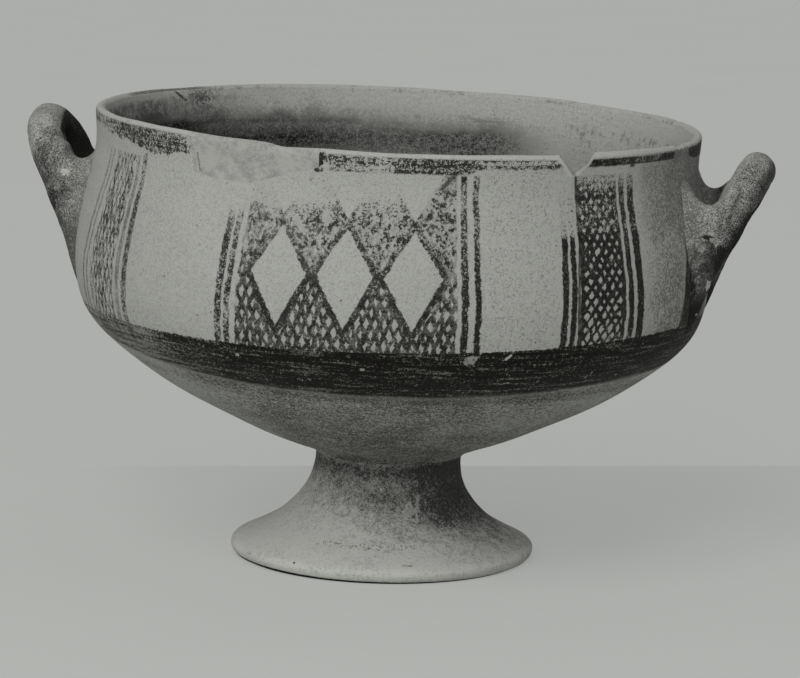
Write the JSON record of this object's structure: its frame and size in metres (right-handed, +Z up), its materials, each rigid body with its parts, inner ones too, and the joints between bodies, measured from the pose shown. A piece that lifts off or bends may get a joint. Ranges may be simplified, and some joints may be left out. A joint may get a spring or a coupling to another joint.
{
  "type": "kantharos cup",
  "caption": "Footed ceramic drinking bowl with two upright loop handles, a painted geometric panel, a mended rim and a flared foot.",
  "frame": {"origin": "centre of the foot's resting ring, on the surface it stands on", "axes": "+Z up, +X through the middle of the lower handle, -Y towards the main painted side"},
  "size_m": [0.2619, 0.2196, 0.156],
  "materials": {
    "fired_clay": "matt slip with dark matt paint",
    "plaster_fill": "matt"
  },
  "bodies": {
    "root": {"bowl": "fired_clay", "foot": "fired_clay", "handle_left": "fired_clay", "handle_right": "fired_clay", "front_sherd": "fired_clay", "rim_plaster": "plaster_fill"}
  },
  "joints": []
}
